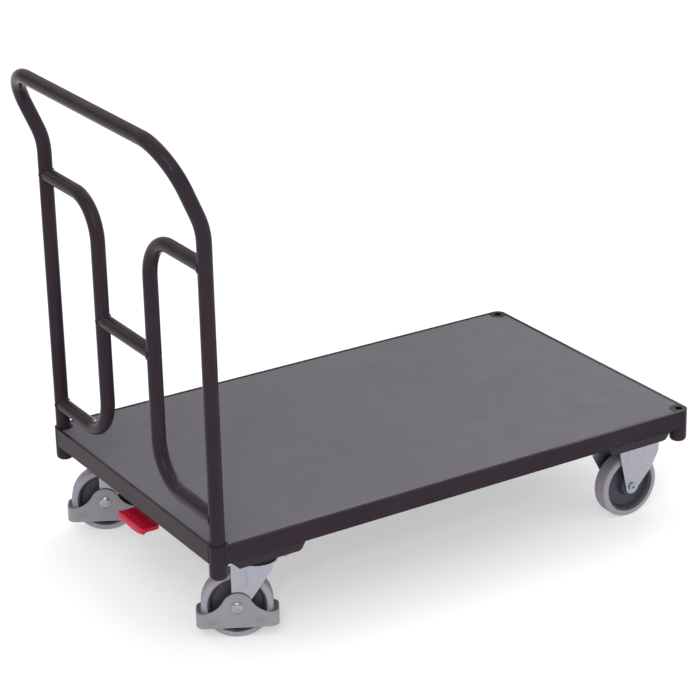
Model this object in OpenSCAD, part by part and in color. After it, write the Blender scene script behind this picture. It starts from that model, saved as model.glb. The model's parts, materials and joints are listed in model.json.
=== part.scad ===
// Platform cart with a plug-in push handle, two braked swivel castors and two fixed castors.
// Front is +X, the handle end is -X, left is +Y. Z = 0 is the floor.

/* [Platform] */
// Overall length of the frame over the corner posts
frame_l = 1014; // [800:1:1250]
// Overall width of the frame over the corner posts
frame_w = 614; // [520:1:800]
// Height of the deck surface above the floor
deck_h = 215; // [205:1:240]
// Height of the angle rails
rail_h = 34; // [32:1:45]
// Wall thickness of the angle rails
rail_t = 5; // [4:0.5:6]
// Thickness of the deck panel
panel_t = 14.5; // [12:0.5:16]
// Gap between the deck panel and the steel around it
panel_gap = 1.5; // [0.5:0.5:3]

/* [Corner posts] */
// Outer diameter of the corner posts
post_d = 32; // [30:0.5:36]
// Wall thickness of the corner posts
post_wall = 2.5; // [2:0.1:2.6]
// Distance the posts reach below the rails
post_drop = 30; // [24:1:40]

/* [Handle] */
// Outer diameter of the handle tubes
tube_d = 26; // [22:0.5:26]
// Wall thickness of the handle tubes
tube_wall = 2; // [1.5:0.25:3]
// Height of the backward kink above the deck
kink_h = 554; // [520:1:700]
// Backward lean of the handle above the kink
lean = 23; // [10:1:35]
// Length of the leaning part, from the kink to the top bar
lean_l = 153; // [140:1:200]
// Centre-line radius of the kink
kink_r = 121; // [80:1:125]
// Centre-line radius of the two top corners
corner_r = 80; // [50:1:90]
// Distance from the outer tube to the upright of each inner loop
loop_w = 195; // [150:1:210]
// Height of the upper arm of the inner loops above the deck
loop_top = 490; // [400:1:500]
// Height of the lower arm of the inner loops above the deck
loop_low = 46; // [35:1:80]
// Centre-line radius of the bends of the inner loops
loop_r = 75; // [50:1:90]
// Height of the crossbar between the inner loops above the deck
bar_h = 275; // [180:1:360]

/* [Wheels] */
// Diameter of the wheels
wheel_d = 125; // [115:1:130]
// Width of the tyres
tyre_w = 32; // [28:1:36]
// Thickness of the tyres
tyre_t = 11; // [8:0.5:14]
// Diameter of the axles
axle_d = 12; // [10:0.5:14]

/* [Castors] */
// Height of the castors, from the floor to the top of the plate
castor_h = 162; // [158:1:170]
// Distance from the swivel axis to the wheel axle
trail = 36; // [25:1:40]
// Distance along the cart from the rear post to the swivel axis
rear_inset = 96.5; // [85:0.5:130]
// Distance along the cart from the front post to the middle of the fixed plate
front_inset = 80; // [76:1:120]
// Distance across the cart from the rear posts to the swivel axes
rear_side_inset = 42; // [41:1:80]
// Distance across the cart from the front posts to the middle of the fixed plates
front_side_inset = 54; // [42:1:70]
// Resting direction of the left swivel castor
swivel_left_a = -29; // [-180:1:180]
// Resting direction of the right swivel castor
swivel_right_a = -29; // [-180:1:180]
// Thickness of the fork legs
leg_t = 2.5; // [2:0.25:3]
// Free space between the fork legs
fork_gap = 39; // [38:0.5:44]
// Plate length
plate_l = 105; // [100:1:115]
// Plate width
plate_w = 85; // [80:1:95]
// Plate thickness
plate_t = 4; // [3:0.5:5]
// Distance between the plate bolts along the plate
bolt_x = 80; // [76:1:84]
// Distance between the plate bolts across the plate
bolt_y = 60; // [58:1:64]
// Diameter of the plate bolts
bolt_d = 8; // [6:0.5:8]

/* [Foot guards] */
// Length of the foot guards
guard_l = 143; // [140:1:160]
// Height of the foot guards above the floor
guard_low = 24; // [18:1:30]
// Height of the band of the foot guards
guard_band = 27; // [20:1:30]
// Wall thickness of the foot guards
guard_t = 2.6; // [2:0.2:3]
// Distance that a foot guard can lift on its axle
guard_lift = 6; // [3:0.5:7]

/* [Brake] */
// Width of the brake pedal
pedal_w = 90; // [70:1:120]
// Depth of the brake pedal
pedal_l = 40; // [34:1:44]
// Depth of the pedal's top below the deck
pedal_drop = 70; // [66:1:76]
// Diameter of the brake shaft
shaft_d = 12; // [10:0.5:12]
// Distance from the brake shaft to the plungers
lever_r = 16; // [14:0.5:20]
// Diameter of the brake plungers
plunger_d = 8; // [6:0.5:8]
// Travel of the brake plungers
plunger_travel = 4; // [3:0.5:5]

/* [Fits] */
// Radial clearance of the turning and sliding fits
run_fit = 0.05; // [0.02:0.01:0.09]
// Radial clearance of the bolts in their holes
bolt_fit = 0.3; // [0.1:0.1:0.5]
// Smallest gap between parts that pass each other
free_gap = 0.8; // [0.4:0.1:1.5]

/* [Hidden] */
$fn = 64;

paint = "#3a3237";
deck_grey = "#706c73";
zinc = "#b4b4be";
tyre_grey = "#8a8490";
rim_grey = "#3c3e4a";
guard_grey = "#a29fa4";
plastic_black = "#161618";
pedal_red = "#c01030";

post_r = post_d / 2;
post_in = post_r - post_wall;
tube_r = tube_d / 2;
axis_w = frame_w - post_d;
side_y = axis_w / 2;
axis_l = frame_l - post_d;
lean_back = lean_l * sin(lean);
rear_x = -(axis_l + post_r - lean_back - tube_r) / 2;
front_x = rear_x + axis_l;
rail_bottom = deck_h - rail_h;
post_bottom = rail_bottom - post_drop;
cap_h = 8;
socket_floor = post_bottom + cap_h + 6;
rail_start = 4;
kink_cut = kink_r * tan(lean / 2);
upright_l = deck_h + kink_h - kink_cut - socket_floor;
bow_run = round(100 * (lean_l - kink_cut - corner_r)) / 100;

member_w = 30;
member_wall = 2;
panel_drop = 0.5;
panel_top = deck_h - panel_drop;
panel_bottom = panel_top - panel_t;
member_bottom = rail_bottom + rail_t;
member_h = panel_bottom - member_bottom;
member_near = 40;
member_past = 6;
screw_d = 5;
screw_hole_r = screw_d / 2 + run_fit;
screw_head_r = 5;
screw_head_h = 3;
screw_bite = 9;
screw_rows = [-0.36, -0.12, 0.12, 0.36];

tray_sheet = 3;
tray_top_l = 144;
tray_back_slant = 19;
tray_front_slant = 3;
tray_rear_shift = -8.5;
tray_front_shift = -23.5;
tray_pad = 1;
tray_pad_y = 24;
tray_slope = 7;
tray_edge = 1.5;
tray_corner_r = 8;
king_hole_r = 14;

swivel_x = rear_x + rear_inset;
fixed_x = front_x - front_inset;
rear_y = side_y - rear_side_inset;
front_y = side_y - front_side_inset;
plate_bottom = castor_h - plate_t;
bolt_r = bolt_d / 2;
bolt_head_h = 5;
bolt_head_r = 7.2;
nut_h = 6.5;
bolt_end = 3;

wheel_r = wheel_d / 2;
rim_r = wheel_r - tyre_t;
axle_r = axle_d / 2;
leg_in = fork_gap / 2;
leg_out = leg_in + leg_t;
hub_half = leg_in - free_gap;
bearing_r = 14;
bearing_w = 8;
thread_r = axle_r - 1;

crown_top = plate_bottom - 12;
crown_t = 3;
crown_r = 36;
race_in = 20;
race_out = 32;
race_h = 4;
ball_r = 3;
ball_ring_r = 26;
balls = 20;
race_fit = 0.1;
king_r = 8;
king_flange_r = 12;
king_flange_h = 3.5;
seal_t = 2;

guard_half_v = leg_out + free_gap + guard_t;
guard_corner = 16;
guard_apex_r = 27;
guard_flank_r = 45;
shoulder_r = axle_r + 0.5;
shoulder_end = guard_half_v + 0.5;
head_r = 10.5;
head_h = 4;
flange_h = 2.5;
hex_r = 8.5;

shaft_r = shaft_d / 2;
shaft_x = swivel_x + lever_r;
plunger_r = plunger_d / 2;
plunger_head_r = 7;
plunger_head_h = 3;
spring_l = 6.5;
head_low = castor_h + king_flange_h + spring_l;
head_top = head_low + plunger_head_h;
lever_gap = 0.6;
lever_nose_r = 2.5;
lever_w = 12;
shaft_z = head_top + lever_gap + lever_nose_r - 1.1;
shaft_half = rear_y + lever_w;
pad_r = 8;
pad_h = 5;
pad_gap = 0.4;
pad_reach = trail - pad_r;
pad_low = wheel_r + sqrt(wheel_r * wheel_r - pad_reach * pad_reach) + pad_gap + plunger_travel;
bush_wall = 2;
bush_l = 12;
arm_t = 5;
arm_w = 26;
pedal_top = deck_h - pedal_drop;
pedal_x = rear_x - post_r - 4;
pedal_t = 8;
lip_r = 5.5;

// ---- helpers ----

module at_swivel(side) {
    a = side > 0 ? swivel_left_a : swivel_right_a;
    translate([swivel_x, side * rear_y, 0]) rotate([0, 0, a]) children();
}

module at_rear_wheel(side) {
    at_swivel(side) translate([-trail, 0, wheel_r]) children();
}

module at_front_wheel(side) {
    translate([fixed_x, side * front_y, wheel_r]) children();
}

module both_sides() {
    for (side = [-1, 1]) translate([0, side * side_y, 0]) children();
}

module disc_y(r, y0, y1) {
    translate([0, y0, 0]) rotate([-90, 0, 0]) cylinder(r = r, h = y1 - y0);
}

module hexagon_y(r, start, length) {
    translate([0, start, 0]) rotate([-90, 0, 0]) cylinder(r = r, h = length, $fn = 6);
}

module rounded_plan(l, w, r) {
    square([l - 2 * r, w], center = true);
    square([l, w - 2 * r], center = true);
    for (x = [-1, 1], y = [-1, 1]) translate([x * (l / 2 - r), y * (w / 2 - r)]) circle(r);
}

module post_cuts(r) {
    for (x = [rear_x, front_x]) both_sides() translate([x, 0, -1]) cylinder(r = r, h = deck_h + 2);
}

module bolt_places() {
    for (x = [-1, 1], y = [-1, 1]) translate([x * bolt_x / 2, y * bolt_y / 2, 0]) children();
}

module plate_places() {
    for (side = [-1, 1]) {
        translate([swivel_x, side * rear_y, 0]) children();
        translate([fixed_x, side * front_y, 0]) children();
    }
}

// Ring section shared by posts and seals.
module tube_section(r, wall) {
    difference() {
        circle(r);
        circle(r - wall);
    }
}

// Solid bend that starts at the origin heading up and turns towards +X.
module bend(r, a, rod_r) {
    translate([r, 0, 0]) rotate([90, 0, 180]) rotate_extrude(angle = a) translate([r, 0]) circle(rod_r);
}

// ---- platform ----

module screw_places() {
    for (x = member_x(), y = screw_rows) translate([x, y * frame_w, 0]) children();
}

function member_x() = [
    rear_x + member_near, swivel_x + plate_l / 2 + member_past,
    (rear_x + front_x) / 2,
    fixed_x - plate_l / 2 - member_past, front_x - member_near
];

module deck_panel() {
    l = frame_l - 2 * (rail_t + panel_gap);
    w = frame_w - 2 * (rail_t + panel_gap);
    color(deck_grey) difference() {
        translate([(rear_x + front_x) / 2 - l / 2, -w / 2, panel_bottom]) cube([l, w, panel_t]);
        post_cuts(post_r + panel_gap);
        screw_places() translate([0, 0, panel_bottom - 1]) cylinder(r = screw_hole_r, h = screw_bite + 1.5);
    }
}

module side_rail(side) {
    l = axis_l - 2 * rail_start;
    inner = rail_h - post_r;
    color(paint) difference() {
        union() {
            translate([rear_x + rail_start, side > 0 ? frame_w / 2 - rail_t : -frame_w / 2, rail_bottom])
                cube([l, rail_t, rail_h]);
            translate([rear_x + inner, side > 0 ? frame_w / 2 - rail_h : -frame_w / 2, rail_bottom])
                cube([axis_l - 2 * inner, rail_h, rail_t]);
        }
        post_cuts(post_r);
    }
}

module end_rail(x, out) {
    w = axis_w - 2 * rail_start;
    leg_w = frame_w - 2 * rail_t;
    color(paint) difference() {
        union() {
            translate([out > 0 ? x + post_r - rail_t : x - post_r, -w / 2, rail_bottom])
                cube([rail_t, w, rail_h]);
            translate([out > 0 ? x + post_r - rail_h : x - post_r + rail_t - 0.1, -leg_w / 2, rail_bottom])
                cube([rail_h - rail_t + 0.1, leg_w, rail_t]);
        }
        post_cuts(post_r);
    }
}

module corner_posts(x) {
    color(paint) both_sides() translate([x, 0, post_bottom + cap_h])
        linear_extrude(deck_h - post_bottom - cap_h) tube_section(post_r, post_wall);
}

module foot_cap() {
    translate([0, 0, post_bottom]) {
        rotate_extrude() {
            square([post_r - cap_h, cap_h]);
            intersection() {
                translate([post_r - cap_h, cap_h]) circle(cap_h);
                square([post_r, cap_h]);
            }
        }
        translate([0, 0, cap_h]) cylinder(r = post_in - run_fit, h = socket_floor - post_bottom - cap_h);
    }
}

module post_foot_caps() {
    color(paint) for (x = [rear_x, front_x]) both_sides() translate([x, 0, 0]) foot_cap();
}

module front_post_plugs() {
    plug_l = 22;
    recess_r = 7;
    color(plastic_black) both_sides() translate([front_x, 0, deck_h - plug_l]) difference() {
        cylinder(r = post_in - run_fit, h = plug_l - 0.4);
        translate([0, 0, plug_l - 8]) cylinder(r = recess_r, h = 9);
    }
}

module cross_members() {
    w = frame_w - 2 * (rail_t + panel_gap);
    color(paint) difference() {
        for (x = member_x()) translate([x - member_w / 2, -w / 2, member_bottom]) difference() {
            cube([member_w, w, member_h]);
            translate([member_wall, -1, member_wall])
                cube([member_w - 2 * member_wall, w + 2, member_h - 2 * member_wall]);
        }
        post_cuts(post_r + panel_gap);
        screw_places() translate([0, 0, member_bottom - 1]) cylinder(r = screw_hole_r, h = member_h + 2);
    }
}

module deck_screws() {
    color(zinc) screw_places() translate([0, 0, member_bottom - screw_head_h]) {
        difference() {
            cylinder(r = screw_head_r, h = screw_head_h);
            translate([0, 0, -1]) cylinder(r = 2, h = 2.6, $fn = 6);
        }
        cylinder(d = screw_d, h = screw_head_h + member_h + screw_bite);
    }
}

// ---- castor trays: open channels under the side rails ----

function tray_width(inset) = post_r + inset + plate_w / 2 + tray_edge;

module tray_profile(tray_w) {
    low = castor_h;
    s = tray_sheet;
    polygon([
        [0, rail_bottom], [tray_slope, low], [tray_w, low], [tray_w, member_bottom],
        [tray_w - s, member_bottom], [tray_w - s, low + s], [tray_slope + s, low + s], [s + 0.6, rail_bottom]
    ]);
}

// Outline of a tray seen from the side of the cart, round the middle of its castor plate.
module tray_outline(shift) {
    back = shift - tray_top_l / 2;
    front = shift + tray_top_l / 2;
    low_back = back + tray_back_slant;
    low_front = front - tray_front_slant;
    r = tray_corner_r;
    top = rail_bottom + 10;
    polygon([
        [back, rail_bottom], [low_back - 1.5, castor_h + 2], [low_back, castor_h],
        [low_front - r, castor_h], [low_front, castor_h + r], [front, rail_bottom],
        [front, top], [back, top]
    ]);
    translate([low_front - r, castor_h + r]) circle(r);
}

module right_tray(x, shift, tray_w) {
    intersection() {
        translate([x - tray_top_l, 0, 0]) rotate([90, 0, 90])
            linear_extrude(2 * tray_top_l) tray_profile(tray_w);
        union() {
            translate([x, tray_w + 1, 0]) rotate([90, 0, 0]) linear_extrude(tray_w + 2) tray_outline(shift);
            translate([x - plate_l / 2 - tray_pad, tray_pad_y, castor_h - 1])
                cube([plate_l + 2 * tray_pad, tray_w, 12]);
        }
    }
}

module tray(x, inset, shift, side) {
    tray_w = tray_width(inset);
    color(paint) difference() {
        if (side < 0) {
            translate([0, -frame_w / 2, 0]) right_tray(x, shift, tray_w);
        } else {
            mirror([0, 1, 0]) translate([0, -frame_w / 2, 0]) right_tray(x, shift, tray_w);
        }
        for (end = [rear_x - post_r, front_x + post_r - rail_h - panel_gap])
            translate([end, -frame_w / 2, rail_bottom]) cube([rail_h + panel_gap, frame_w, rail_h]);
        translate([x, side * (side_y - inset), castor_h - 1]) {
            cylinder(r = king_hole_r, h = tray_sheet + 2);
            bolt_places() cylinder(r = bolt_r + bolt_fit, h = tray_sheet + 2);
        }
        if (x == swivel_x) translate([shaft_x, 0, shaft_z]) disc_y(shaft_r + bush_wall, -side_y, side_y);
        post_cuts(post_r + panel_gap);
    }
}

module castor_bolts() {
    color(zinc) plate_places() bolt_places() {
        translate([0, 0, castor_h + tray_sheet]) cylinder(r = bolt_head_r, h = bolt_head_h, $fn = 6);
        translate([0, 0, plate_bottom - nut_h - bolt_end])
            cylinder(r = bolt_r, h = castor_h + tray_sheet - plate_bottom + nut_h + bolt_end);
    }
}

module castor_nuts() {
    color(zinc) plate_places() bolt_places() translate([0, 0, plate_bottom - nut_h]) difference() {
        cylinder(r = bolt_head_r, h = nut_h, $fn = 6);
        translate([0, 0, -1]) cylinder(r = bolt_r + run_fit, h = nut_h + 2);
    }
}

// ---- swivel heads ----

module plate_body() {
    translate([0, 0, plate_bottom]) linear_extrude(plate_t) difference() {
        rounded_plan(plate_l, plate_w, 8);
        bolt_places() circle(bolt_r + bolt_fit);
    }
}

module ball_groove(z) {
    translate([0, 0, z]) rotate_extrude() translate([ball_ring_r, 0]) circle(ball_r + race_fit);
}

module swivel_plates() {
    color(zinc) for (side = [-1, 1]) translate([swivel_x, side * rear_y, 0]) difference() {
        union() {
            plate_body();
            translate([0, 0, plate_bottom - race_h]) cylinder(r = race_out, h = race_h + 0.1);
        }
        translate([0, 0, plate_bottom - race_h - 1]) cylinder(r = race_in, h = race_h + 1);
        translate([0, 0, plate_bottom - race_h - 1]) cylinder(r = king_r, h = plate_t + race_h + 2);
        ball_groove((crown_top + plate_bottom) / 2);
    }
}

module bearing_balls() {
    ball_z = (crown_top + plate_bottom) / 2;
    color(zinc) for (side = [-1, 1], i = [0:balls - 1]) translate([swivel_x, side * rear_y, ball_z])
        rotate([0, 0, i * 360 / balls]) translate([ball_ring_r, 0, 0]) sphere(ball_r, $fn = 16);
}

module swivel_seals() {
    inner = race_out + run_fit;
    color(plastic_black) for (side = [-1, 1]) translate([swivel_x, side * rear_y, crown_top + free_gap])
        linear_extrude(plate_bottom - crown_top - free_gap) tube_section(inner + seal_t, seal_t);
}

module kingpins() {
    low = crown_top - crown_t - free_gap;
    color(zinc) for (side = [-1, 1]) translate([swivel_x, side * rear_y, 0]) difference() {
        union() {
            translate([0, 0, low]) cylinder(r = king_r, h = castor_h - low);
            translate([0, 0, low - king_flange_h]) cylinder(r = king_flange_r, h = king_flange_h);
            translate([0, 0, castor_h]) cylinder(r = king_flange_r, h = king_flange_h);
        }
        translate([0, 0, low - king_flange_h - 1]) cylinder(r = plunger_r + run_fit, h = castor_h);
    }
}

// Outline of a fork leg in its own plane: x along the rolling direction from the axle, y up.
module swivel_leg_outline() {
    boss = 13;
    top = crown_top - wheel_r;
    back = -9;
    front = trail + 27.5;
    difference() {
        union() {
            circle(boss);
            polygon([
                [back, 0], [boss - 1, 0], [23, 11], [front - 2, top - 15],
                [front, top - 8], [front, top], [back, top]
            ]);
        }
        circle(axle_r + run_fit);
    }
}

module swivel_fork(side) {
    color(zinc) at_rear_wheel(side) {
        for (v = [-leg_out, leg_in]) translate([0, v + leg_t, 0]) rotate([90, 0, 0])
            linear_extrude(leg_t) swivel_leg_outline();
        translate([trail, 0, crown_top - wheel_r - crown_t]) difference() {
            union() {
                translate([-trail - 9, -leg_in - 0.1, 0]) cube([trail + 36.5, fork_gap + 0.2, crown_t]);
                cylinder(r = crown_r, h = crown_t);
                cylinder(r = race_out, h = crown_t + race_h);
            }
            translate([0, 0, -1]) cylinder(r = king_r + run_fit, h = crown_t + 2);
            translate([0, 0, crown_t]) cylinder(r = race_in, h = race_h + 1);
            ball_groove(crown_t + (plate_bottom - crown_top) / 2);
        }
    }
}

module rear_axle(side) {
    color(zinc) at_rear_wheel(side) {
        disc_y(axle_r, -leg_out - 0.1, leg_out);
        disc_y(thread_r, leg_out - 0.1, shoulder_end + flange_h + 8);
        disc_y(shoulder_r, -shoulder_end, -leg_out);
        difference() {
            intersection() {
                disc_y(head_r, -shoulder_end - head_h, -shoulder_end);
                translate([0, -shoulder_end - head_h + 20, 0]) sphere(20, $fn = 96);
            }
            hexagon_y(3.4, -shoulder_end - head_h - 1, 4);
        }
    }
}

module rear_axle_nut(side) {
    color(zinc) at_rear_wheel(side) difference() {
        union() {
            disc_y(shoulder_r, leg_out, shoulder_end + 0.1);
            disc_y(head_r, shoulder_end, shoulder_end + flange_h);
            hexagon_y(hex_r, shoulder_end + flange_h, 6.5);
        }
        disc_y(thread_r + run_fit, leg_out - 1, shoulder_end + flange_h + 9);
    }
}

// ---- foot guards: a band around the wheel that rises to the axle on both sides ----

module guard_side() {
    low = guard_low - wheel_r;
    top = low + guard_band;
    flank_y = top + guard_flank_r;
    flank_x = sqrt(pow(guard_apex_r + guard_flank_r, 2) - flank_y * flank_y);
    share = guard_apex_r / (guard_apex_r + guard_flank_r);
    difference() {
        union() {
            translate([-guard_l, low]) square([2 * guard_l, guard_band]);
            circle(guard_apex_r);
            polygon([[-flank_x, top - 1], [flank_x, top - 1], [flank_x, top],
                [flank_x * share, flank_y * share], [-flank_x * share, flank_y * share], [-flank_x, top]]);
        }
        for (s = [-1, 1]) translate([s * flank_x, flank_y]) circle(guard_flank_r);
        translate([-guard_l, low - 50]) square([2 * guard_l, 50]);
        translate([-shoulder_r - run_fit, -guard_lift]) square([2 * (shoulder_r + run_fit), guard_lift]);
        for (y = [0, -guard_lift]) translate([0, y]) circle(shoulder_r + run_fit);
    }
}

module foot_guard(side) {
    half = guard_half_v;
    color(guard_grey) at_rear_wheel(side) intersection() {
        translate([0, 0, -wheel_r]) linear_extrude(wheel_d) difference() {
            rounded_plan(guard_l, 2 * half, guard_corner);
            rounded_plan(guard_l - 2 * guard_t, 2 * (half - guard_t), guard_corner - guard_t);
        }
        translate([0, half + 1, 0]) rotate([90, 0, 0]) linear_extrude(2 * half + 2) guard_side();
    }
}

// ---- fixed castors ----

module fixed_leg_outline() {
    boss = 14;
    top = plate_bottom - wheel_r;
    difference() {
        union() {
            circle(boss);
            polygon([
                [-boss, 0], [boss - 1, -4], [44, 28], [61, 60], [62, top - 14], [56, top - 3], [52, top],
                [-29, top], [-29, top - 26], [-27, 58], [-20, 28]
            ]);
        }
        circle(axle_r + run_fit);
    }
}

module fixed_fork(side) {
    rib_r = 5;
    rib_out = 1.4;
    rib_low = 28;
    color(zinc) {
        translate([fixed_x, side * front_y, 0]) plate_body();
        at_front_wheel(side) {
            for (a = [0, 180]) rotate([0, 0, a]) translate([0, -leg_in, 0]) rotate([90, 0, 0])
                linear_extrude(leg_t) fixed_leg_outline();
            for (a = [0, 180], x = [-13, 24]) rotate([0, 0, a]) intersection() {
                translate([x, rib_r - rib_out - leg_out, rib_low])
                    cylinder(r = rib_r, h = plate_bottom - wheel_r - rib_low + 0.1);
                translate([-60, -leg_out - 3, 0]) cube([140, 3.5, 140]);
            }
        }
    }
}

module front_axles() {
    color(zinc) for (side = [-1, 1]) at_front_wheel(side) {
        disc_y(axle_r, -leg_out, leg_out);
        disc_y(thread_r, side > 0 ? -leg_out - 9 : leg_out - 0.1, side > 0 ? -leg_out + 0.1 : leg_out + 9);
        difference() {
            disc_y(8, side > 0 ? leg_out : -leg_out - 3.5, side > 0 ? leg_out + 3.5 : -leg_out);
            hexagon_y(3, side > 0 ? leg_out + 1 : -leg_out - 4, 3);
        }
    }
}

module front_axle_nuts() {
    color(zinc) for (side = [-1, 1]) at_front_wheel(side) difference() {
        hexagon_y(hex_r, side > 0 ? -leg_out - 6.5 : leg_out, 6.5);
        disc_y(thread_r + run_fit, -leg_out - 20, leg_out + 20);
    }
}

// ---- wheels, drawn with the axle along Y ----

module tyre() {
    soft = 6;
    edge = tyre_w / 2 - soft;
    color(tyre_grey) rotate([90, 0, 0]) rotate_extrude($fn = 128) difference() {
        union() {
            translate([rim_r, -tyre_w / 2]) square([tyre_t - soft, tyre_w]);
            translate([rim_r, -edge]) square([tyre_t, 2 * edge]);
            for (s = [-1, 1]) translate([wheel_r - soft, s * edge]) circle(soft);
        }
        translate([rim_r - 20, -tyre_w]) square([20, 2 * tyre_w]);
    }
}

module rim() {
    half = tyre_w / 2 - 1.5;
    bore = axle_r + 2;
    step = hub_half - bearing_w;
    color(rim_grey) rotate([90, 0, 0]) rotate_extrude($fn = 128) polygon([
        [bore, -step], [bearing_r, -step], [bearing_r, -hub_half], [bearing_r + 4.5, -hub_half],
        [bearing_r + 6, -hub_half + 3], [bearing_r + 8, -6], [rim_r - 8, -5], [rim_r - 4.5, -half + 2],
        [rim_r - 3, -half], [rim_r, -half],
        [rim_r, half], [rim_r - 3, half], [rim_r - 4.5, half - 2], [rim_r - 8, 5], [bearing_r + 8, 6],
        [bearing_r + 6, hub_half - 3], [bearing_r + 4.5, hub_half], [bearing_r, hub_half],
        [bearing_r, step], [bore, step]
    ]);
}

module bearings() {
    color(zinc) for (s = [-1, 1]) translate([0, s * (hub_half - bearing_w / 2), 0]) rotate([90, 0, 0])
        rotate_extrude() difference() {
            translate([axle_r + run_fit, -bearing_w / 2]) square([bearing_r - axle_r - run_fit, bearing_w]);
            translate([bearing_r - 5, s > 0 ? -bearing_w / 2 - 1 : bearing_w / 2 - 0.6]) square([3, 1.6]);
        }
}

// ---- brake ----

module shaft_bushes() {
    wall_y = frame_w / 2 - tray_width(rear_side_inset) + tray_sheet / 2;
    color(plastic_black) for (side = [-1, 1]) translate([shaft_x, side * wall_y, shaft_z]) difference() {
        disc_y(shaft_r + bush_wall, -bush_l / 2, bush_l / 2);
        disc_y(shaft_r + run_fit, -bush_l, bush_l);
    }
}

module brake_shaft() {
    color(zinc) translate([shaft_x, 0, shaft_z]) disc_y(shaft_r, -shaft_half, shaft_half);
}

module brake_levers() {
    nose_x = lever_r - 0.5;
    nose_z = head_top + lever_gap + lever_nose_r - shaft_z;
    color(zinc) for (side = [-1, 1]) translate([shaft_x, side * rear_y + lever_w / 2, shaft_z])
        rotate([90, 0, 0]) linear_extrude(lever_w) difference() {
            union() {
                circle(shaft_r + 2);
                translate([-nose_x, nose_z - 1.2]) square([nose_x, 3.7]);
                translate([-nose_x, nose_z]) circle(lever_nose_r);
            }
            circle(shaft_r);
        }
}

module pedal_arm() {
    px = pedal_x + 2 * lip_r + 0.5 - shaft_x;
    pz = pedal_top - pedal_t - shaft_z;
    bend_x = pedal_x + pedal_l + 2 - shaft_x;
    color(paint) translate([shaft_x, 0, shaft_z]) difference() {
        union() {
            disc_y(shaft_r + 3.5, -arm_w / 2, arm_w / 2);
            translate([0, arm_w / 2 - 1, 0]) rotate([90, 0, 0]) linear_extrude(arm_w - 2) polygon([
                [0, -7], [bend_x, pz - arm_t], [px, pz - arm_t], [px, pz], [bend_x - 2, pz], [-1, 2]
            ]);
        }
        disc_y(shaft_r, -arm_w, arm_w);
    }
}

module pedal_profile() {
    back_r = pedal_t / 2;
    dip = 1.2;
    translate([lip_r, -lip_r]) circle(lip_r);
    translate([pedal_l - back_r, -back_r]) circle(back_r);
    translate([lip_r, -pedal_t]) square([pedal_l - lip_r - back_r, pedal_t - dip]);
}

module brake_pedal() {
    color(pedal_red) intersection() {
        translate([pedal_x, pedal_w / 2, pedal_top]) rotate([90, 0, 0])
            linear_extrude(pedal_w) pedal_profile();
        translate([pedal_x + pedal_l / 2, 0, pedal_top - 20])
            linear_extrude(30) rounded_plan(pedal_l, pedal_w, 8);
    }
}

module plunger(side) {
    color(zinc) translate([swivel_x, side * rear_y, 0]) {
        translate([0, 0, pad_low]) cylinder(r = pad_r, h = pad_h);
        translate([0, 0, pad_low]) cylinder(r = plunger_r, h = head_low - pad_low + 0.1);
        translate([0, 0, head_low]) cylinder(r = plunger_head_r, h = plunger_head_h);
    }
}

// Ring of points across the spring wire at each step along the coil.
function coil_point(i, j, steps, sides, turns, r, wire, height) =
    let (a = 360 * turns * i / steps, b = 360 * j / sides, q = r + wire * cos(b))
    [q * cos(a), q * sin(a), wire + (height - 2 * wire) * i / steps + wire * sin(b)];

module plunger_spring(side) {
    steps = 40;
    sides = 8;
    points = [for (i = [0:steps], j = [0:sides - 1])
        coil_point(i, j, steps, sides, 2.5, 5.6, 0.45, spring_l - 0.1)];
    walls = [for (i = [0:steps - 1], j = [0:sides - 1]) let (k = (j + 1) % sides)
        [i * sides + j, i * sides + k, (i + 1) * sides + k, (i + 1) * sides + j]];
    first = [for (j = [sides - 1:-1:0]) j];
    last = [for (j = [0:sides - 1]) steps * sides + j];
    color(zinc) translate([swivel_x, side * rear_y, castor_h + king_flange_h + 0.05])
        polyhedron(points, concat([first, last], walls));
}

// ---- handle ----

module outer_cut(r) {
    both_sides() translate([rear_x, 0, 0]) cylinder(r = r, h = deck_h + kink_h);
}

module uprights_path(rod_r) {
    both_sides() translate([rear_x, 0, socket_floor]) {
        cylinder(r = rod_r, h = upright_l);
        translate([0, 0, upright_l]) rotate([0, 0, 180]) bend(kink_r, lean, rod_r);
    }
}

module handle_uprights() {
    color(paint) difference() {
        uprights_path(tube_r);
        uprights_path(tube_r - tube_wall);
    }
}

module bow_path(rod_r) {
    for (s = [-1, 1]) translate([0, s * side_y, 0]) {
        cylinder(r = rod_r, h = bow_run);
        translate([0, 0, bow_run]) rotate([0, 0, -90 * s]) bend(corner_r, 90, rod_r);
    }
    translate([0, 0, bow_run + corner_r]) disc_y(rod_r, -side_y + corner_r, side_y - corner_r);
}

module handle_bow() {
    bow_z = deck_h + kink_h - kink_cut + kink_r * sin(lean);
    color(paint) translate([rear_x - kink_r * (1 - cos(lean)), 0, bow_z]) rotate([0, -lean, 0])
        difference() {
            bow_path(tube_r);
            bow_path(tube_r - tube_wall);
        }
}

// The right loop: two arms, two bends and an upright.
module loop_path(rod_r) {
    arm = loop_w - loop_r;
    upright = loop_top - loop_low - 2 * loop_r;
    for (z = [loop_low, loop_top]) translate([rear_x, -side_y + arm / 2, deck_h + z])
        disc_y(rod_r, -arm / 2, arm / 2);
    translate([rear_x, -side_y + loop_w, deck_h + loop_low + loop_r]) {
        cylinder(r = rod_r, h = upright);
        rotate([180, 0, 0]) rotate([0, 0, 90]) bend(loop_r, 90, rod_r);
        translate([0, 0, upright]) rotate([0, 0, -90]) bend(loop_r, 90, rod_r);
    }
}

module right_loop() {
    difference() {
        loop_path(tube_r);
        loop_path(tube_r - tube_wall);
        outer_cut(tube_r);
    }
}

module handle_loop(side) {
    color(paint) if (side < 0) {
        right_loop();
    } else {
        mirror([0, 1, 0]) right_loop();
    }
}

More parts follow.
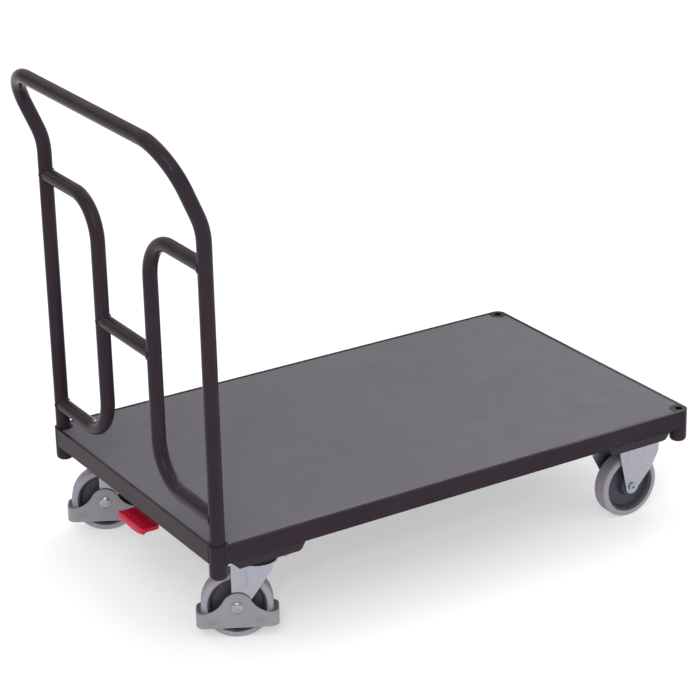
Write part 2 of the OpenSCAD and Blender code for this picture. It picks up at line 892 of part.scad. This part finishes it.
module handle_crossbar() {
    half = side_y - loop_w;
    color(paint) difference() {
        translate([rear_x, 0, deck_h + bar_h]) disc_y(tube_r, -half, half);
        translate([rear_x, 0, deck_h + bar_h]) disc_y(tube_r - tube_wall, -half - 1, half + 1);
        for (s = [-1, 1]) translate([rear_x, s * half, deck_h]) cylinder(r = tube_r, h = loop_top);
    }
}

// ---- one line per node ----

deck_panel();
side_rail(1);  // rail_left
side_rail(-1);  // rail_right
end_rail(rear_x, -1);  // rail_rear
end_rail(front_x, 1);  // rail_front
corner_posts(rear_x);  // corner_posts_rear
corner_posts(front_x);  // corner_posts_front
post_foot_caps();
front_post_plugs();
cross_members();
deck_screws();
tray(swivel_x, rear_side_inset, tray_rear_shift, 1);  // tray_rear_left
tray(swivel_x, rear_side_inset, tray_rear_shift, -1);  // tray_rear_right
tray(fixed_x, front_side_inset, tray_front_shift, 1);  // tray_front_left
tray(fixed_x, front_side_inset, tray_front_shift, -1);  // tray_front_right
castor_bolts();
castor_nuts();
swivel_plates();
kingpins();
bearing_balls();
swivel_seals();
fixed_fork(1);  // fixed_fork_left
fixed_fork(-1);  // fixed_fork_right
front_axles();
front_axle_nuts();
shaft_bushes();
brake_shaft();
brake_levers();
pedal_arm();
brake_pedal();
plunger(1);  // plunger_left
plunger(-1);  // plunger_right
plunger_spring(1);  // plunger_spring_left
plunger_spring(-1);  // plunger_spring_right
swivel_fork(1);  // swivel_fork_left
swivel_fork(-1);  // swivel_fork_right
rear_axle(1);  // rear_axle_left
rear_axle(-1);  // rear_axle_right
rear_axle_nut(1);  // rear_axle_nut_left
rear_axle_nut(-1);  // rear_axle_nut_right
foot_guard(1);  // foot_guard_left
foot_guard(-1);  // foot_guard_right
at_rear_wheel(1) tyre();  // tyre_rear_left
at_rear_wheel(-1) tyre();  // tyre_rear_right
at_front_wheel(1) tyre();  // tyre_front_left
at_front_wheel(-1) tyre();  // tyre_front_right
at_rear_wheel(1) rim();  // rim_rear_left
at_rear_wheel(-1) rim();  // rim_rear_right
at_front_wheel(1) rim();  // rim_front_left
at_front_wheel(-1) rim();  // rim_front_right
at_rear_wheel(1) bearings();  // bearings_rear_left
at_rear_wheel(-1) bearings();  // bearings_rear_right
at_front_wheel(1) bearings();  // bearings_front_left
at_front_wheel(-1) bearings();  // bearings_front_right
handle_uprights();
handle_bow();
handle_loop(1);  // handle_loop_left
handle_loop(-1);  // handle_loop_right
handle_crossbar();
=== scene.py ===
"""The looks of a platform cart: its materials, small surface detail, floor, lights and camera."""

import json
import math

import bmesh
import bpy
from mathutils import Matrix, Vector


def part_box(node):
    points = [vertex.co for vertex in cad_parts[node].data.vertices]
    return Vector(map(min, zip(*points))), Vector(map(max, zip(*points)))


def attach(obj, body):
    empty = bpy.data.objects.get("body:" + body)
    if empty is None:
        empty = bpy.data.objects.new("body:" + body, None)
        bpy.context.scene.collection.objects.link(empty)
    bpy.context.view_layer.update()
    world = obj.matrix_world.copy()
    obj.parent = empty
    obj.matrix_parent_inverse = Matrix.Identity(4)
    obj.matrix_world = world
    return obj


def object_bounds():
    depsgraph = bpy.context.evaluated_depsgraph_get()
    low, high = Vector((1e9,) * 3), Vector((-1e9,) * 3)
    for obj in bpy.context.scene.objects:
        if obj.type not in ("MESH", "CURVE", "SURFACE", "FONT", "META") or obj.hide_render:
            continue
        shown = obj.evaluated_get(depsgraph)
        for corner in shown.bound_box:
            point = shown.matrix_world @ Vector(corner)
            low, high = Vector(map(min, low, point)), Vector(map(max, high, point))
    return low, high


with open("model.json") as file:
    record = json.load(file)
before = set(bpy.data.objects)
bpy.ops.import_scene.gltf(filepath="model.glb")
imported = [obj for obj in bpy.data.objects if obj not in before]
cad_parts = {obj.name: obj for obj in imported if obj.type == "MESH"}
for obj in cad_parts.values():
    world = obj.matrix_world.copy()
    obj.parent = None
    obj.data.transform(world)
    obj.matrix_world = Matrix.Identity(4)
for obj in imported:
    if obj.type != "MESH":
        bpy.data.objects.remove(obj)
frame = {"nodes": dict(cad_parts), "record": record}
CAD_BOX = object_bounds()
NODES = frame["nodes"]

MM = 0.001
SIDES = {"left": 1, "right": -1}


# ---- places, read from the CAD nodes ----

def middle(node):
    low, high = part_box(node)
    return (Vector(low) + Vector(high)) / 2


def span(node):
    low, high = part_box(node)
    return Vector(high) - Vector(low)


HINGES = {j["name"]: j for j in frame["record"]["behaviour"]["joints"]}
POST_LOW, POST_HIGH = (Vector(v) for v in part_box("corner_posts_rear"))
POST_R = (POST_HIGH.x - POST_LOW.x) / 2
REAR_X = (POST_HIGH.x + POST_LOW.x) / 2
FRONT_X = middle("corner_posts_front").x
SIDE_Y = POST_HIGH.y - POST_R
BAR = middle("handle_crossbar")
TUBE_R = span("handle_crossbar").z / 2
LOOP_LOW, LOOP_HIGH = (Vector(v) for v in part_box("handle_loop_left"))
LOOP_Y = LOOP_LOW.y + TUBE_R
RAIL_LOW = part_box("rail_right")[0][2]


# ---- node material helpers ----

class Paint:
    """A node material under construction."""

    def __init__(self, name, color, rough, metal=0.0, **sockets):
        self.mat = bpy.data.materials.new(name)
        self.mat.use_nodes = True
        self.tree = self.mat.node_tree
        self.bsdf = self.tree.nodes["Principled BSDF"]
        self.put(self.bsdf, "Base Color", (*color, 1.0))
        self.put(self.bsdf, "Roughness", rough)
        self.put(self.bsdf, "Metallic", metal)
        for key, value in sockets.items():
            self.put(self.bsdf, key.replace("_", " "), value)
        self.mat.diffuse_color = (*color, 1.0)

    def put(self, node, socket, value):
        if isinstance(value, bpy.types.NodeSocket):
            self.tree.links.new(value, node.inputs[socket])
        else:
            node.inputs[socket].default_value = value

    def node(self, kind, out=0, settings=None, **inputs):
        """A new shader node's output; a socket is given by name, or by number as i0, i1 and so on."""
        n = self.tree.nodes.new("ShaderNode" + kind)
        for key, value in (settings or {}).items():
            setattr(n, key, value)
        for key, value in inputs.items():
            self.put(n, int(key[1:]) if key[0] == "i" and key[1:].isdigit() else key.replace("_", " "), value)
        return n.outputs[out]

    def place(self, scale=(1, 1, 1)):
        """Object coordinates in metres, stretched along each axis."""
        return self.node("Mapping", i0=self.node("TexCoord", out=3), i3=scale)

    def noise(self, where, scale, detail=3.0, rough=0.55, distortion=0.0):
        return self.node("TexNoise", Vector=where, Scale=scale, Detail=detail, Roughness=rough,
                         Distortion=distortion)

    def remap(self, value, low, high, to_low=0.0, to_high=1.0):
        return self.node("MapRange", i0=value, i1=low, i2=high, i3=to_low, i4=to_high)

    def math(self, operation, a, b=0.0):
        return self.node("Math", settings={"operation": operation}, i0=a, i1=b)

    def blend(self, amount, a, b):
        a = a if isinstance(a, bpy.types.NodeSocket) else (*a, 1.0)
        b = b if isinstance(b, bpy.types.NodeSocket) else (*b, 1.0)
        return self.node("Mix", out=2, settings={"data_type": "RGBA"}, i0=amount, i6=a, i7=b)

    def bump(self, height, distance, strength=1.0, normal=None):
        args = {"Height": height, "Distance": distance, "Strength": strength}
        if normal is not None:
            args["Normal"] = normal
        return self.node("Bump", **args)

    def scratches(self, where, scale, stretch, amount):
        """Fine straight marks along three directions, thinned out by a patchy mask."""
        total = None
        for turn in ((0.2, 0.1, 0.4), (0.9, 0.5, 1.7), (1.4, 1.1, 2.6)):
            lines = self.noise(self.node("Mapping", i0=where, i2=turn, i3=(1, stretch, stretch)), scale, 2.0)
            thin = self.remap(self.math("ABSOLUTE", self.math("SUBTRACT", lines, 0.5)), 0.0, 0.012, 1.0, 0.0)
            total = thin if total is None else self.math("MAXIMUM", total, thin)
        patch = self.remap(self.noise(where, scale * 0.6), 0.48, 0.66)
        return self.math("MULTIPLY", self.math("MULTIPLY", total, patch), amount)

    def finish(self, color=None, rough=None, normal=None):
        for socket, value in (("Base Color", color), ("Roughness", rough), ("Normal", normal)):
            if value is not None:
                self.put(self.bsdf, socket, value)
        return self.mat


# ---- the materials ----

def powder_coat():
    p = Paint("powder_coat", (0.027, 0.0185, 0.0250), 0.14, Specular_IOR_Level=0.07)
    here = p.place()
    tone = p.remap(p.noise(here, 9.0, 2.0), 0.3, 0.7)
    color = p.blend(tone, (0.0245, 0.0165, 0.0225), (0.0300, 0.0205, 0.0275))
    marks = p.scratches(here, 26.0, 22.0, 0.30)
    color = p.blend(p.math("MULTIPLY", marks, 0.5), color, (0.10, 0.095, 0.098))
    dust = p.remap(p.noise(here, 31.0, 5.0, 0.7), 0.45, 0.8, 0.0, 0.05)
    up = p.remap(p.node("SeparateXYZ", out=2, i0=p.node("NewGeometry", out=1)), 0.3, 1.0)
    color = p.blend(p.math("MULTIPLY", dust, up), color, (0.34, 0.32, 0.31))
    peel = p.noise(here, 420.0, 2.0, 0.5)
    rough = p.math("ADD", p.remap(p.noise(here, 60.0, 4.0), 0.3, 0.7, 0.12, 0.18),
                   p.math("MULTIPLY", marks, 0.3))
    return p.finish(color, rough, p.bump(peel, 0.00004, 0.35))


def deck_laminate():
    p = Paint("deck_laminate", (0.102, 0.096, 0.110), 0.5, Specular_IOR_Level=0.35)
    here = p.place()
    broad = p.remap(p.noise(here, 5.0, 4.0, 0.6), 0.3, 0.7)
    grain = p.remap(p.noise(here, 900.0, 2.0, 0.6), 0.25, 0.75)
    fibre = p.remap(p.noise(p.place((1, 9, 9)), 60.0, 4.0, 0.65), 0.3, 0.7)
    color = p.blend(broad, (0.098, 0.092, 0.105), (0.106, 0.100, 0.114))
    color = p.blend(p.math("MULTIPLY", fibre, 0.22), color, (0.090, 0.084, 0.096))
    color = p.blend(p.math("MULTIPLY", grain, 0.20), color, (0.130, 0.122, 0.138))
    marks = p.scratches(here, 7.0, 30.0, 0.4)
    color = p.blend(p.math("MULTIPLY", marks, 0.30), color, (0.18, 0.17, 0.19))
    rough = p.math("ADD", p.remap(p.noise(here, 18.0, 5.0, 0.65), 0.3, 0.7, 0.46, 0.58),
                   p.math("MULTIPLY", grain, 0.06))
    low = p.bump(p.noise(here, 500.0, 3.0, 0.6), 0.00006, 0.6)
    return p.finish(color, rough, p.bump(grain, 0.00004, 0.6, low))


def zinc_plate(name="zinc_plate", tint=(0.37, 0.37, 0.41), gloss=0.24):
    p = Paint(name, tint, gloss, 1.0)
    here = p.place()
    cool = tuple(c * k for c, k in zip(tint, (0.93, 0.97, 1.05)))
    warm = tuple(c * k for c, k in zip(tint, (1.04, 1.01, 0.97)))
    color = p.blend(p.remap(p.noise(here, 42.0, 3.0, 0.6, 0.8), 0.35, 0.65), cool, warm)
    stain = p.remap(p.noise(here, 130.0, 5.0, 0.7), 0.52, 0.75, 0.0, 0.35)
    color = p.blend(stain, color, tuple(c * 0.72 for c in tint))
    rolled = p.noise(p.place((1, 1, 14)), 240.0, 3.0, 0.6)
    marks = p.scratches(here, 60.0, 18.0, 0.7)
    rough = p.math("ADD", p.remap(rolled, 0.3, 0.7, gloss - 0.04, gloss + 0.10),
                   p.math("MULTIPLY", marks, 0.22))
    return p.finish(color, rough, p.bump(p.math("ADD", rolled, marks), 0.00003, 0.6))


def moulded(name, color, rough, speck=0.12, grain=650.0, depth=0.00005, shine=0.4):
    """Moulded plastic: a fine spark-eroded grain, faint flow marks and scuffs."""
    p = Paint(name, color, rough, Specular_IOR_Level=shine)
    here = p.place()
    flow = p.remap(p.noise(here, 24.0, 3.0, 0.6, 1.2), 0.3, 0.7)
    lighter = tuple(min(1.0, c * (1 + speck)) for c in color)
    darker = tuple(c * (1 - speck) for c in color)
    tone = p.blend(flow, darker, lighter)
    marks = p.scratches(here, 40.0, 16.0, 0.7)
    scuff = tuple(0.5 * c + 0.5 * (0.6 if sum(color) > 0.6 else 0.2) for c in color)
    tone = p.blend(p.math("MULTIPLY", marks, 0.4), tone, scuff)
    skin = p.noise(here, grain, 2.0, 0.5)
    gloss = p.remap(p.noise(here, 90.0, 4.0), 0.3, 0.7, rough - 0.05, rough + 0.08)
    return p.finish(tone, gloss, p.bump(skin, depth, 0.8))


def axle_place(p, joint):
    """Coordinates round a wheel's axle: the last axis lies along it."""
    centre = Vector(joint["pos_m"])
    heading = math.atan2(joint["axis"][0], joint["axis"][1])
    here = p.node("TexCoord", out=3)
    moved = p.node("Mapping", i0=here, i1=tuple(-c for c in centre))
    return p.node("Mapping", i0=moved, i2=(0, 0, heading))


def off_axle(p, where):
    """(distance from the axle, place along the axle), in metres."""
    parts = p.tree.nodes.new("ShaderNodeSeparateXYZ")
    p.put(parts, 0, where)
    x, y, z = parts.outputs
    return p.math("SQRT", p.math("ADD", p.math("MULTIPLY", x, x), p.math("MULTIPLY", z, z))), y


def tyre_rubber(joint, outer):
    p = Paint("tyre_rubber_" + joint["name"], (0.300, 0.272, 0.325), 0.62, Specular_IOR_Level=0.4)
    where = axle_place(p, joint)
    r, along = off_axle(p, where)
    cloud = p.remap(p.noise(where, 34.0, 4.0, 0.65), 0.3, 0.7)
    tone = p.blend(cloud, (0.285, 0.258, 0.308), (0.325, 0.296, 0.350))
    tread = p.remap(r, outer - 0.0022, outer - 0.0004)
    worn = p.math("MULTIPLY", tread, p.remap(p.noise(where, 160.0, 5.0, 0.7), 0.35, 0.65, 0.3, 0.9))
    tone = p.blend(worn, tone, (0.225, 0.205, 0.235))
    grit = p.remap(p.noise(where, 700.0, 4.0, 0.7), 0.62, 0.72)
    tone = p.blend(p.math("MULTIPLY", grit, p.math("MULTIPLY", tread, 0.6)), tone, (0.40, 0.38, 0.36))
    seam = p.remap(p.math("ABSOLUTE", along), 0.00025, 0.0006, 1.0, 0.0)
    rings = p.math("SINE", p.math("MULTIPLY", r, 5200.0))
    skin = p.math("MULTIPLY", p.noise(where, 800.0, 3.0), 0.7)
    height = p.math("ADD", skin, p.math("MULTIPLY", seam, 0.8))
    height = p.math("ADD", height, p.math("MULTIPLY", rings, 0.12))
    rough = p.remap(p.noise(where, 75.0, 4.0), 0.3, 0.7, 0.55, 0.72)
    return p.finish(tone, rough, p.bump(height, 0.00010, 0.8))


def rim_plastic(joint, outer):
    p = Paint("rim_plastic_" + joint["name"], (0.036, 0.039, 0.055), 0.42, Specular_IOR_Level=0.4)
    where = axle_place(p, joint)
    r = off_axle(p, where)[0]
    flow = p.remap(p.noise(where, 40.0, 4.0, 0.6, 1.0), 0.3, 0.7)
    tone = p.blend(flow, (0.031, 0.034, 0.049), (0.041, 0.045, 0.062))
    near_rim = p.remap(r, outer - 0.010, outer - 0.001)
    dust = p.math("MULTIPLY", p.remap(p.noise(where, 210.0, 5.0, 0.7), 0.45, 0.7), 0.22)
    tone = p.blend(p.math("MULTIPLY", near_rim, dust), tone, (0.28, 0.26, 0.26))
    rings = p.math("SINE", p.math("MULTIPLY", r, 2600.0))
    skin = p.math("MULTIPLY", p.noise(where, 600.0, 3.0), 0.8)
    height = p.math("ADD", skin, p.math("MULTIPLY", rings, 0.15))
    rough = p.remap(p.noise(where, 120.0, 4.0), 0.3, 0.7, 0.36, 0.52)
    return p.finish(tone, rough, p.bump(height, 0.00006, 0.8))


COAT = powder_coat()
DECK = deck_laminate()
ZINC = zinc_plate()
STEEL = zinc_plate("ground_steel", (0.38, 0.38, 0.40), 0.22)
GUARD = moulded("guard_plastic", (0.250, 0.238, 0.264), 0.44, 0.05)
BLACK = moulded("black_plastic", (0.006, 0.006, 0.007), 0.42, shine=0.16)
RED = moulded("red_plastic", (0.52, 0.004, 0.030), 0.38, 0.10, 420.0, 0.00008)


def dress(node, material):
    slots = NODES[node].data.materials
    slots.clear()
    slots.append(material)


BY_SLOT = {
    "frame_paint": COAT, "deck_laminate": DECK, "zinc": ZINC, "steel": STEEL,
    "guard_plastic": GUARD, "black_plastic": BLACK, "red_plastic": RED,
}
for part in frame["record"]["subparts"]:
    if part["material_slot"] in BY_SLOT:
        dress(part["node"], BY_SLOT[part["material_slot"]])
for place in ("rear_left", "rear_right", "front_left", "front_right"):
    spin = HINGES["wheel_" + place + "_spin"]
    dress("tyre_" + place, tyre_rubber(spin, span("tyre_" + place).z / 2))
    dress("rim_" + place, rim_plastic(spin, span("rim_" + place).z / 2))


# ---- small geometry that is too fine for the CAD ----

def piece(name, mesh, material, body):
    data = bpy.data.meshes.new(name)
    mesh.normal_update()
    mesh.to_mesh(data)
    mesh.free()
    data.materials.append(material)
    for face in data.polygons:
        face.use_smooth = True
    item = bpy.data.objects.new(name, data)
    bpy.context.scene.collection.objects.link(item)
    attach(item, body)


def sweep(mesh, points, radius, sides=10, closed=False):
    """A tube round a line of points; radius(i) gives its radius at point i."""
    count = len(points)
    rings = []
    side = None
    for i, point in enumerate(points):
        ahead = points[(i + 1) % count] if closed or i + 1 < count else point
        behind = points[i - 1] if closed or i > 0 else point
        along = (ahead - behind).normalized()
        if side is None:
            side = along.orthogonal().normalized()
        side = (side - along * side.dot(along)).normalized()
        up = along.cross(side)
        ring = []
        for k in range(sides):
            a = 2 * math.pi * k / sides
            ring.append(mesh.verts.new(point + (side * math.cos(a) + up * math.sin(a)) * radius(i)))
        rings.append(ring)
    last = count if closed else count - 1
    for i in range(last):
        a, b = rings[i], rings[(i + 1) % count]
        shift = 0
        if closed and i == count - 1:
            shift = min(range(sides), key=lambda s: (a[0].co - b[s].co).length)
        for k in range(sides):
            mesh.faces.new((a[k], a[(k + 1) % sides], b[(k + 1 + shift) % sides], b[(k + shift) % sides]))
    if not closed:
        mesh.faces.new(list(reversed(rings[0])))
        mesh.faces.new(rings[-1])


def ripple(size, step):
    """The radius along a weld bead, which swells a little with each pass."""
    return lambda i: size * (1 + 0.16 * abs(math.sin(i * math.pi / step)))


def saddle_weld(mesh, x, y, z, s, tube_r, bead):
    """A bead round a cross tube that runs towards the middle from an upright of the same size."""
    points = []
    count = 144
    reach = tube_r + 0.25 * MM
    for i in range(count):
        a = 2 * math.pi * i / count
        lift = math.sqrt(math.sin(a) ** 2 + 0.006)
        points.append(Vector((x + reach * math.cos(a), y - s * reach * lift, z + reach * math.sin(a))))
    sweep(mesh, points, ripple(bead, 3), 10, True)


def straight_weld(mesh, start, end, bead):
    length = (end - start).length
    count = max(6, int(length / (0.5 * MM)))
    points = [start.lerp(end, i / count) for i in range(count + 1)]
    body = ripple(bead, 4)
    sweep(mesh, points, lambda i: body(i) * (0.45 if i in (0, count) else 1.0), 8)


def handle_welds():
    mesh = bmesh.new()
    bead = 1.9 * MM
    for s in SIDES.values():
        for z in (LOOP_LOW.z + TUBE_R, LOOP_HIGH.z - TUBE_R):
            saddle_weld(mesh, REAR_X, s * SIDE_Y, z, s, TUBE_R, bead)
        saddle_weld(mesh, REAR_X, s * LOOP_Y, BAR.z, s, TUBE_R, bead)
    piece("handle_welds", mesh, COAT, "handle")


def frame_welds():
    mesh = bmesh.new()
    bead = 1.5 * MM
    # Where a rail's outer face leaves a post, as shares of the post's radius.
    near, far = 0.36, 0.933
    rail_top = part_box("rail_right")[1][2]
    post_weld = Vector((0, 0, rail_top - RAIL_LOW - 3 * MM))
    for x, end in ((REAR_X, -1), (FRONT_X, 1)):
        for s in SIDES.values():
            for dx, dy in ((-end * near, s * far), (end * far, -s * near)):
                foot = Vector((x + POST_R * dx, s * SIDE_Y + POST_R * dy, RAIL_LOW + 1 * MM))
                straight_weld(mesh, foot, foot + post_weld, bead)
    tray_weld = Vector((22 * MM, 0, 0))
    for node in ("tray_rear_left", "tray_rear_right", "tray_front_left", "tray_front_right"):
        low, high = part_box(node)
        s = 1 if low[1] > 0 else -1
        face = high[1] if s > 0 else low[1]
        for at in (0.16, 0.5, 0.84):
            x = low[0] + (high[0] - low[0]) * at
            start = Vector((x, face - s * 0.4 * MM, RAIL_LOW - 0.2 * MM)) - tray_weld / 2
            straight_weld(mesh, start, start + tray_weld, bead)
    piece("frame_welds", mesh, COAT, "frame")


def bar_block(mesh, place, size, turn, bevel):
    """A small bar with rounded edges: place is the middle of its foot."""
    made = bmesh.ops.create_cube(mesh, size=1.0)
    edges = {e for v in made["verts"] for e in v.link_edges}
    scale = Matrix.Diagonal((*size, 1.0))
    bmesh.ops.transform(mesh, matrix=place @ turn @ Matrix.Translation((0, 0, size[2] / 2)) @ scale,
                        verts=made["verts"])
    bmesh.ops.bevel(mesh, geom=list(edges), offset=bevel, segments=3, profile=0.7, affect="EDGES",
                    clamp_overlap=True)


def pedal_ribs():
    """Grip ribs across the pedal's dished top, long and short in turn."""
    mesh = bmesh.new()
    centre = middle("brake_pedal")
    tread_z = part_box("brake_pedal")[1][2] - 1.35 * MM
    count = 9
    pitch = 8.2 * MM
    width, height, bevel = 3.0 * MM, 1.5 * MM, 0.6 * MM
    for i in range(count):
        y = centre.y + (i - (count - 1) / 2) * pitch
        length = (17 if i % 2 else 20) * MM
        place = Matrix.Translation((centre.x + 0.5 * MM, y, tread_z))
        bar_block(mesh, place, (length, width, height), Matrix.Identity(4), bevel)
    piece("pedal_ribs", mesh, RED, "brake")


def pedal_lip():
    """The thick rolled lip that droops along the pedal's free edge."""
    low, high = (Vector(v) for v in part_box("brake_pedal"))
    count = 40
    thick = 4.0 * MM
    droop = 1.6 * MM
    rounding = 4
    points = []
    for i in range(count + 1):
        t = i / count
        y = low.y + thick + (high.y - low.y - 2 * thick) * t
        sag = droop * math.sin(1.5 * math.pi * t) ** 2
        points.append(Vector((low.x + 3.2 * MM, y, low.z + 3.4 * MM - sag)))

    def rolled(i):
        return thick * (1 - 0.6 * (max(0, rounding - min(i, count - i)) / rounding) ** 2)

    mesh = bmesh.new()
    sweep(mesh, points, rolled, 16)
    piece("pedal_lip", mesh, RED, "brake")


def castor_place(side):
    """The middle of a swivel castor's wheel, with +X along its rolling direction."""
    spin = HINGES["wheel_rear_" + side + "_spin"]
    heading = math.atan2(-spin["axis"][0], spin["axis"][1])
    return Matrix.Translation(Vector(spin["pos_m"])) @ Matrix.Rotation(heading, 4, "Z")


def guard_ribs(side):
    """Two fields of short upright ribs on each long face of a foot guard."""
    place = castor_place(side)
    low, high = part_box("foot_guard_" + side)
    face = max((place.inverted() @ v.co).y for v in NODES["foot_guard_" + side].data.vertices)
    band = 27 * MM
    mid_z = (low[2] + min(high[2], low[2] + band)) / 2 - place.translation.z
    count = 6
    first, pitch = 33 * MM, 3.6 * MM
    size, sunk, bevel = (1.5 * MM, 11 * MM, 0.75 * MM), 0.15 * MM, 0.3 * MM
    mesh = bmesh.new()
    for s in (-1, 1):
        flat = Matrix.Rotation(-s * math.pi / 2, 4, "X")
        for end in (-1, 1):
            for i in range(count):
                at = place @ Matrix.Translation((end * (first + pitch * i), s * (face - sunk), mid_z))
                bar_block(mesh, at, size, flat, bevel)
    piece("guard_ribs_" + side, mesh, GUARD, "guard_" + side)


def fork_bead(mesh, place, x, low, high, face, s):
    """A pressed stiffening bead on a fork leg: a low half-round ridge with run-out ends."""
    count = 28
    run_out = 5
    radius = 2.3 * MM
    end_share = 0.35
    y = s * (face - 1.1 * MM)
    points = [place @ Vector((x, y, low + (high - low) * i / count)) for i in range(count + 1)]

    def swell(i):
        rise = math.sin(math.pi / 2 * min(i, count - i, run_out) / run_out)
        return radius * (end_share + (1 - end_share) * rise)

    sweep(mesh, points, swell, 14)


def swivel_fork_beads(side):
    """One bead on each fork leg, between the lifted foot guard and the fork's crown."""
    place = castor_place(side)
    axle_z = place.translation.z
    leg_zone = 40 * MM
    face = max(abs((place.inverted() @ v.co).y) for v in NODES["swivel_fork_" + side].data.vertices
               if (v.co.z - axle_z) < leg_zone)
    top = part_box("swivel_fork_" + side)[1][2] - axle_z - 9 * MM
    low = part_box("foot_guard_" + side)[1][2] - axle_z + 8 * MM
    mesh = bmesh.new()
    for s in (-1, 1):
        fork_bead(mesh, place, 17 * MM, low, top, face, s)
    piece("fork_beads_" + side, mesh, ZINC, "swivel_" + side)


handle_welds()
frame_welds()
pedal_ribs()
pedal_lip()
for name in SIDES:
    guard_ribs(name)
    swivel_fork_beads(name)


# ---- floor, light and camera ----

def floor():
    mesh = bmesh.new()
    bmesh.ops.create_circle(mesh, cap_ends=True, segments=96, radius=30.0)
    data = bpy.data.meshes.new("floor")
    mesh.to_mesh(data)
    mesh.free()
    p = Paint("floor_pale", (0.64, 0.64, 0.64), 0.85, Specular_IOR_Level=0.0,
              Emission_Color=(1.0, 1.0, 1.0, 1.0), Emission_Strength=0.42)
    tone = p.remap(p.noise(p.place(), 2.0, 3.0), 0.3, 0.7)
    p.finish(p.blend(tone, (0.635, 0.635, 0.635), (0.645, 0.645, 0.645)))
    data.materials.append(p.mat)
    item = bpy.data.objects.new("floor", data)
    item.location = (0, 0, CAD_BOX[0][2])
    bpy.context.scene.collection.objects.link(item)


def lamp(name, place, aim, size, power):
    data = bpy.data.lights.new(name, "AREA")
    data.shape = "RECTANGLE"
    data.size, data.size_y = size
    data.energy = power
    item = bpy.data.objects.new(name, data)
    item.location = place
    item.rotation_euler = (Vector(aim) - Vector(place)).to_track_quat("-Z", "Y").to_euler()
    bpy.context.scene.collection.objects.link(item)


def sky():
    """A studio tent: white overhead, with soft darker gaps between its wall panels."""
    world = bpy.data.worlds.new("studio")
    world.use_nodes = True
    tree = world.node_tree
    back = tree.nodes["Background"]

    def node(kind, operation=None, **inputs):
        n = tree.nodes.new("ShaderNode" + kind)
        if operation:
            n.operation = operation
        for key, value in inputs.items():
            if isinstance(value, bpy.types.NodeSocket):
                tree.links.new(value, n.inputs[int(key[1:])])
            else:
                n.inputs[int(key[1:])].default_value = value
        return n

    split = node("SeparateXYZ", i0=node("TexCoord").outputs["Generated"])
    x, y, z = split.outputs
    turn = node("Math", "ARCTAN2", i0=y, i1=x).outputs[0]
    wave = node("Math", "SINE", i0=node("Math", "MULTIPLY", i0=turn, i1=5.0).outputs[0]).outputs[0]
    panel = node("MapRange", i0=wave, i1=-0.55, i2=0.15, i3=0.12, i4=0.70).outputs[0]
    height = node("MapRange", i0=z, i1=0.15, i2=0.55, i3=0.0, i4=1.0).outputs[0]
    wall = node("Math", "SUBTRACT", i0=1.0, i1=height).outputs[0]
    part = node("Math", "MULTIPLY", i0=panel, i1=wall).outputs[0]
    tent = node("Math", "ADD", i0=part, i1=height).outputs[0]
    skyline = node("MapRange", i0=z, i1=0.06, i2=0.14, i3=1.0, i4=0.0).outputs[0]
    shade = node("Math", "MAXIMUM", i0=tent, i1=skyline).outputs[0]
    tree.links.new(shade, back.inputs["Color"])
    back.inputs["Strength"].default_value = 1.0
    bpy.context.scene.world = world


def camera():
    """The photograph's view: angles in degrees, target in millimetres, distance in metres."""
    yaw, pitch, roll = (math.radians(a) for a in (32.896, 21.668, -0.768))
    target = Vector((92.165, 0.0, 393.934)) * MM
    distance = 4.4856
    forward = Vector((math.sin(yaw) * math.cos(pitch), math.cos(yaw) * math.cos(pitch), -math.sin(pitch)))
    right = Vector((math.cos(yaw), -math.sin(yaw), 0))
    up = right.cross(forward)
    turned_right = right * math.cos(roll) + up * math.sin(roll)
    turned_up = up * math.cos(roll) - right * math.sin(roll)
    data = bpy.data.cameras.new("camera")
    data.sensor_width = 36
    data.lens = 125.34
    data.shift_x = -0.0714
    data.shift_y = -0.0429
    data.clip_end = 100
    item = bpy.data.objects.new("camera", data)
    axes = Matrix((turned_right, turned_up, -forward)).transposed().to_4x4()
    item.matrix_world = Matrix.Translation(target - forward * distance) @ axes
    bpy.context.scene.collection.objects.link(item)
    bpy.context.scene.camera = item


floor()
sky()
lamp("key", (-2.6, -2.6, 3.6), (0, 0, 0.3), (2.0, 2.0), 34)
lamp("top", (0.5, 0.6, 4.2), (0, 0, 0.2), (2.6, 1.4), 18)
lamp("rim", (2.8, 2.2, 2.2), (0, 0, 0.3), (1.2, 2.2), 14)
lamp("low", (1.6, -3.2, 0.9), (0, 0, 0.15), (1.8, 0.9), 6)
lamp("spark", (-1.9, -2.4, 1.9), (-0.46, 0, 0.7), (0.10, 0.26), 12)
bpy.context.scene.view_settings.view_transform = "Standard"
camera()
